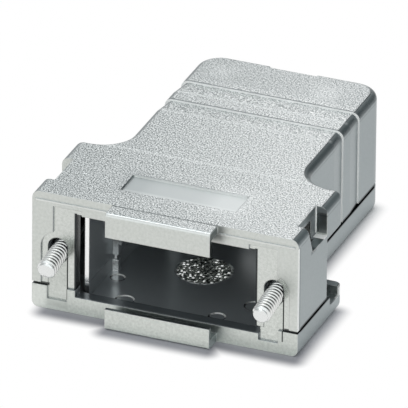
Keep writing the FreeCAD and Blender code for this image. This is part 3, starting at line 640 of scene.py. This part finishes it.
def thread_tree():
    """Geometry Nodes for a threaded rod that lies along +Y from the origin, in millimetres."""
    tree = bpy.data.node_groups.new("threaded_rod", "GeometryNodeTree")
    face = tree.interface
    face.new_socket("Geometry", in_out="OUTPUT", socket_type="NodeSocketGeometry")
    floats = (("Length", THREAD_LONG), ("Crest radius", CREST), ("Depth", DEEP), ("Pitch", PITCH),
              ("Start turn", 0.0), ("Tip inset", TIP_INSET))
    for kind, sockets in (("Float", floats), ("Int", (("Rings", RINGS), ("Sides", SIDES)))):
        for name, value in sockets:
            socket = face.new_socket(name, in_out="INPUT", socket_type="NodeSocket" + kind)
            socket.default_value = value
    face.new_socket("Finish", in_out="INPUT", socket_type="NodeSocketMaterial")
    size_in = add(tree, "NodeGroupInput").outputs

    grid = add(tree, "GeometryNodeMeshGrid",
               {"Size X": 1.0, "Size Y": 1.0, "Vertices X": size_in["Rings"],
                "Vertices Y": size_in["Sides"]}).outputs["Mesh"]
    flat = add(tree, SPLIT, {0: add(tree, "GeometryNodeInputPosition").outputs[0]}).outputs
    along = add(tree, MATH, {0: flat[0], 1: 0.5}, operation="ADD").outputs[0]
    turn = add(tree, MATH, {0: flat[1], 1: 0.5}, operation="ADD").outputs[0]

    # The first and last rings fold onto the axis, which closes both ends
    run = add(tree, RANGE, {0: along, 1: FOLD, 2: 1 - FOLD, 3: 0.0,
                            4: size_in["Length"]}).outputs[0]
    closed = add(tree, MATH, {0: flat[0]}, operation="ABSOLUTE").outputs[0]
    closed = add(tree, MATH, {0: closed, 1: RIM}, operation="LESS_THAN").outputs[0]

    # How far along the helix: 0 in a root, half a turn on a crest
    wave = add(tree, MATH, {0: run, 1: size_in["Pitch"]}, operation="DIVIDE").outputs[0]
    wave = add(tree, MATH, {0: wave, 1: turn}, operation="ADD").outputs[0]
    wave = add(tree, MATH, {0: wave, 1: size_in["Start turn"]}, operation="ADD").outputs[0]
    wave = add(tree, MATH, {0: wave, 1: 0.5}, operation="PINGPONG").outputs[0]
    flank = add(tree, RANGE, {0: wave, 1: FLANK[0], 2: FLANK[1], 3: 0.0, 4: size_in["Depth"]},
                interpolation_type="SMOOTHSTEP").outputs[0]
    root = add(tree, MATH, {0: size_in["Crest radius"], 1: size_in["Depth"]},
               operation="SUBTRACT").outputs[0]
    radius = add(tree, MATH, {0: root, 1: flank}, operation="ADD").outputs[0]

    # The tip's chamfer: the radius may grow only as fast as the rod gets longer
    cone = add(tree, MATH, {0: root, 1: size_in["Tip inset"]}, operation="SUBTRACT").outputs[0]
    cone = add(tree, MATH, {0: cone, 1: run}, operation="ADD").outputs[0]
    radius = add(tree, MATH, {0: radius, 1: cone}, operation="MINIMUM").outputs[0]
    radius = add(tree, MATH, {0: radius, 1: closed}, operation="MULTIPLY").outputs[0]

    angle = add(tree, MATH, {0: turn, 1: 2 * math.pi}, operation="MULTIPLY").outputs[0]
    x = add(tree, MATH, {0: angle}, operation="COSINE").outputs[0]
    z = add(tree, MATH, {0: angle}, operation="SINE").outputs[0]
    x = add(tree, MATH, {0: x, 1: radius}, operation="MULTIPLY").outputs[0]
    z = add(tree, MATH, {0: z, 1: radius}, operation="MULTIPLY").outputs[0]
    wrapped = add(tree, JOIN, {0: x, 1: run, 2: z}).outputs[0]
    rod = grid
    for kind, feeds in (("SetPosition", {"Position": wrapped}),
                        ("MergeByDistance", {"Distance": NEAR}),
                        ("SetShadeSmooth", {"Shade Smooth": True}),
                        ("RealizeInstances", {}),
                        ("SetMaterial", {"Material": size_in["Finish"]})):
        rod = add(tree, "GeometryNode" + kind, {"Geometry": rod, **feeds}).outputs[0]
    add(tree, "NodeGroupOutput", {"Geometry": rod})
    return tree


rod_tree = thread_tree()
print("thread: pitch %.3f mm, depth %.2f mm" % (PITCH, DEEP))

# %% [markdown]
# ## Collar, shank and head
#
# Behind its thread a jackscrew is turned down to a shank, with a collar that stops in the slot and
# a slotted head for the driver. Those parts are already right in the CAD solid, so a copy of it is
# cut off in front of the collar and the threaded rod takes the place of the plain stretch.

# %% Put each jackscrew together
AXIS = Vector((0, math.cos(TILT), math.sin(TILT)))
SCREWS = {
    "jackscrew_left": dict(x=-SCREW_X, out=4.3, start=0.15),
    "jackscrew_right": dict(x=SCREW_X, out=4.9, start=0.62),
}   # mm from the middle, mm the tip stands out of the front, turns
CUT = 7.2             # mm from the tip, where the CAD solid is cut
WELD, ON_CUT = 1e-7, 1e-8     # m: points nearer than this are one, or lie on the cut


def threaded_rod(start_turn):
    """The rod as a plain mesh along +Y, in millimetres."""
    holder = bpy.data.objects.new("rod", bpy.data.meshes.new("rod"))
    bpy.context.scene.collection.objects.link(holder)
    modifier = holder.modifiers.new("thread", "NODES")
    modifier.node_group = rod_tree
    wanted = {"Start turn": start_turn, "Finish": jackscrew_steel}
    for item in rod_tree.interface.items_tree:
        if item.in_out == "INPUT" and item.name in wanted:
            modifier[item.identifier] = wanted[item.name]
    holder.update_tag()
    bpy.context.view_layer.update()
    ready = holder.evaluated_get(bpy.context.evaluated_depsgraph_get())
    mesh = bpy.data.meshes.new_from_object(ready)
    bpy.data.objects.remove(holder)
    return mesh


def rear_of(node, cut_at):
    """A merged copy of a CAD jackscrew without what lies in front of a point on its axis."""
    shape = bmesh.new()
    shape.from_mesh(node.data)
    bmesh.ops.transform(shape, matrix=node.matrix_world, verts=shape.verts)
    bmesh.ops.remove_doubles(shape, verts=shape.verts, dist=WELD)
    whole = shape.verts[:] + shape.edges[:] + shape.faces[:]
    bmesh.ops.bisect_plane(shape, geom=whole, plane_co=cut_at, plane_no=AXIS, clear_inner=True,
                           dist=ON_CUT)
    rim = [edge for edge in shape.edges if edge.is_boundary]
    bmesh.ops.edgenet_fill(shape, edges=rim)
    for f in shape.faces:
        f.smooth = False
    return shape


def make_jackscrew(name, x, out, start):
    """One jackscrew: its CAD rear and a threaded front, as one mesh."""
    face_point = Vector((x, 0, SCREW_HEIGHT))
    tip = face_point - AXIS * out / math.cos(TILT)
    shape = rear_of(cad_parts[name], (tip + AXIS * CUT) * MM)
    rod = threaded_rod(start)
    lean = Matrix.Rotation(TILT, 4, "X")
    rod.transform(Matrix.Scale(MM, 4) @ Matrix.Translation(tip) @ lean)
    shape.from_mesh(rod)
    bmesh.ops.recalc_face_normals(shape, faces=shape.faces)
    mesh = bpy.data.meshes.new(name + "_threaded")
    shape.to_mesh(mesh)
    shape.free()
    bpy.data.meshes.remove(rod)
    screw = bpy.data.objects.new(name + "_threaded", mesh)
    bpy.context.scene.collection.objects.link(screw)
    mesh.materials.clear()
    mesh.materials.append(jackscrew_steel)
    for polygon in mesh.polygons:
        polygon.material_index = 0
    print(screw.name, "has", len(mesh.polygons), "faces")
    return screw


for screw_name, where in SCREWS.items():
    made = make_jackscrew(screw_name, **where)
    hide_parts(screw_name)
    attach(made, "left_jackscrew" if "left" in screw_name else "right_jackscrew")

# %% [markdown]
# ## A small product table
#
# Metal shows its surroundings more than its own colour, so the table is half of the finish. It is
# a sheet of white paper. For the metal's reflections it glows evenly, as lit paper does.
#
# In a catalogue picture the background is pure white and only a soft shadow is left round the
# object. So the real shaded paper shows within a few millimetres of the hood's outline, and fades
# into plain white. To the camera that paper is also painted grey, as a painted shadow that is
# darkest in front of the hood. The sheet is clear from below and where the hood stands, so the
# underside can be looked at too.

# %% Table
REACH = 9.0           # m, from the middle of the sheet to its sides
UNDER = -0.03 * MM    # a hair below the hood, so that the two faces don't mix
SHADOW_WIDE = 2.8     # mm that the shaded paper reaches past the hood's outline
HIGH = 9.0            # mm that the outline's boxes reach above and below the sheet

table = bpy.data.meshes.new("table_top")
corners = [(x * REACH, y * REACH, UNDER) for x, y in ((-1, -1), (1, -1), (1, 1), (-1, 1))]
table.from_pydata(corners, [], [(0, 1, 2, 3)])
table_top = bpy.data.objects.new("table_top", table)
bpy.context.scene.collection.objects.link(table_top)

paper, tree, place = start_material("white_table_paper", "#ffffff")
ray = add(tree, "ShaderNodeLightPath").outputs
white = linear("#ffffff")

# For the camera the paper's colour is painted darker as a painted shadow, but not beside the cable
# end
along = add(tree, SPLIT, {0: place}).outputs[1]
past_front = add(tree, RANGE, {0: along, 1: -1.0, 2: 6.0}).outputs[0]
painted_shadow_grey = tint(tree, past_front, linear("#a6a6ac"), linear("#d6d6da"))
past_middle = add(tree, RANGE, {0: along, 1: 25.0, 2: 50.0}).outputs[0]
painted_shadow_grey = tint(tree, past_middle, painted_shadow_grey, white)
sheet = tint(tree, ray["Is Camera Ray"], white, painted_shadow_grey)
shaded_paper = add(tree, "ShaderNodeBsdfPrincipled",
                   {"Base Color": sheet, "Roughness": 0.9, "Specular IOR Level": 0.0}).outputs[0]

# Away from the hood's outline the sheet turns to plain white, for the eye and for reflections
near_wide = outside(tree, place, (-18.0, -1.2, -HIGH), (20.4, 15.0, HIGH))
near_narrow = outside(tree, place, (-11.0, 0.0, -HIGH), (13.4, 47.0, HIGH))
near_tab = outside(tree, place, (-7.6, -3.6, -HIGH), (8.0, 0.0, HIGH))
near = add(tree, MATH, {0: near_wide, 1: near_narrow}, operation="MINIMUM").outputs[0]
near = add(tree, MATH, {0: near, 1: near_tab}, operation="MINIMUM").outputs[0]
plain = add(tree, RANGE, {0: near, 1: 0.0, 2: SHADOW_WIDE},
            interpolation_type="SMOOTHSTEP").outputs[0]
seen = any_of(tree, ray["Is Camera Ray"], ray["Is Glossy Ray"], ray["Is Transmission Ray"])
glow = add(tree, "ShaderNodeEmission", {"Color": white, "Strength": 1.0}).outputs[0]
surface = add(tree, "ShaderNodeMixShader",
              {0: all_of(tree, plain, seen), 1: shaded_paper, 2: glow}).outputs[0]

# Clear from below, and in two boxes within the hood's own foot
below = add(tree, "ShaderNodeNewGeometry").outputs["Backfacing"]
under_wide = in_box(tree, place, (-19.5, 1.0, -1.0), (19.5, 16.3, 1.0), 0.2)
under_narrow = in_box(tree, place, (-12.8, 10.0, -1.0), (12.8, 49.2, 1.0), 0.2)
unseen = any_of(tree, below, under_wide, under_narrow)
clear = add(tree, "ShaderNodeBsdfTransparent").outputs[0]
surface = add(tree, "ShaderNodeMixShader", {0: unseen, 1: surface, 2: clear}).outputs[0]
add(tree, "ShaderNodeOutputMaterial", {0: surface})
table.materials.append(paper)
table_top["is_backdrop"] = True
print("table: %s, its shadow reaches %.1f mm past the hood" % (paper.name, SHADOW_WIDE))

# %% [markdown]
# ## Soft boxes and the room
#
# A photographer lights metal with large soft surfaces, because a small lamp would make hard spots.
# A large soft box hangs overhead, a little to the left and to the rear, and lights the top, the
# label field and the paper. A small dim one stands behind the hood and draws the top's edges.
#
# The rest of the light is the room. It is grey, with a bright wall behind on the left, which the
# top mirrors, and a dark one behind on the right, which draws the dark band along the roundings.
# In front it is brighter, and that fills the front faces.

# %% Lamps and walls
LAMPS_AIM = Vector((0, 22, 8)) * MM   # what both lamps look at


def soft_box(name, towards, away_mm, size_mm, level):
    """A square lamp that looks at the hood; at level 1 its face is as bright as white."""
    lamp = bpy.data.lights.new(name, "AREA")
    lamp.shape = "SQUARE"
    lamp.size = size_mm * MM
    direction = Vector(towards).normalized()
    lamp.energy = level * math.pi * (size_mm * MM) ** 2
    box = bpy.data.objects.new(name, lamp)
    box.location = LAMPS_AIM + direction * away_mm * MM
    box.rotation_mode = "QUATERNION"
    box.rotation_quaternion = direction.to_track_quat("Z", "Y")
    bpy.context.scene.collection.objects.link(box)
    return box


rear_box = soft_box("soft_box_rear", (0.02, 0.86, 0.50), 170, 90, 0.5)
overhead_box = soft_box("soft_box_overhead", (-0.20, 0.10, 0.97), 600, 340, 2.6)

world = bpy.data.worlds.new("studio_room")
bpy.context.scene.world = world
world.use_nodes = True
room_tree = world.node_tree
room_tree.nodes.clear()
way = add(room_tree, "ShaderNodeTexCoord").outputs["Generated"]


def wall_patch(towards, start, full):
    """A soft round patch on the walls; start and full are cosines of its rim and its core."""
    lean = add(room_tree, VECTOR, {0: way, 1: Vector(towards).normalized()},
               operation="DOT_PRODUCT").outputs[1]
    return add(room_tree, RANGE, {0: lean, 1: start, 2: full},
               interpolation_type="SMOOTHSTEP").outputs[0]


bright_wall = wall_patch((-0.33, 0.83, 0.46), 0.60, 0.90)
dark_wall = wall_patch((0.46, 0.82, 0.34), 0.78, 0.92)
front_wall = wall_patch((0.20, -0.90, 0.40), 0.50, 0.90)
room_colour = tint(room_tree, bright_wall, linear("#c2c5c6"), linear("#ffffff"))
room_colour = tint(room_tree, dark_wall, room_colour, linear("#33383b"))
strength = add(room_tree, RANGE, {0: front_wall, 3: 1.0, 4: 2.2}).outputs[0]
room_light = add(room_tree, "ShaderNodeBackground",
                 {"Color": room_colour, "Strength": strength}).outputs[0]
add(room_tree, "ShaderNodeOutputWorld", {0: room_light})
print("lamps:", rear_box.name, "and", overhead_box.name)

# %% [markdown]
# ## The camera
#
# The photograph was taken from far away with a long lens, so the hood's long edges stay nearly
# parallel. The camera stands 2.3 m off, looks down by 27.4 degrees from 21.7 degrees to the right
# of the front, and is turned by half a degree about its own view.

# %% Camera
AZIMUTH, ELEVATION, ROLL = (math.radians(a) for a in (21.72, 27.42, 0.552))
DISTANCE = 2293.7      # mm
AIM = Vector((0, 20, 9))   # mm
SLIDE = (-1.87, 1.73)  # mm, sideways and up
SENSOR = 36.0          # mm, across
FOCAL = 15946.7        # pixels, the focal length in a picture
PICTURE = 408          # pixels, this wide

view_way = Vector((-math.sin(AZIMUTH) * math.cos(ELEVATION),
                   math.cos(AZIMUTH) * math.cos(ELEVATION),
                   -math.sin(ELEVATION)))
level_right = Vector((math.cos(AZIMUTH), math.sin(AZIMUTH), 0))
level_up = level_right.cross(view_way)
right = level_right * math.cos(ROLL) + level_up * math.sin(ROLL)
up = level_up * math.cos(ROLL) - level_right * math.sin(ROLL)
lens = bpy.data.cameras.new("long_lens")
lens.sensor_width = SENSOR
lens.lens = SENSOR * FOCAL / PICTURE
lens.clip_start, lens.clip_end = 0.1, 20.0
camera = bpy.data.objects.new("camera", lens)
spot = (AIM + right * SLIDE[0] + up * SLIDE[1] - view_way * DISTANCE) * MM
turn = Matrix((right, up, -view_way)).transposed().to_4x4()
camera.matrix_world = Matrix.Translation(spot) @ turn
bpy.context.scene.collection.objects.link(camera)
bpy.context.scene.camera = camera
bpy.context.scene.view_settings.view_transform = "Standard"
print("camera at", [round(v, 3) for v in spot])

# %% [markdown]
# ## The two boxes
#
# The dressed hood may not be larger than the CAD hood. Both boxes are written down, the CAD
# hood's and the dressed hood's, and the numbers below should agree.

# %% Sizes
shown_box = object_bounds()
for title, corners in (("cad", cad_box), ("shown", shown_box)):
    print(title, [[round(v / MM, 2) for v in c] for c in corners])
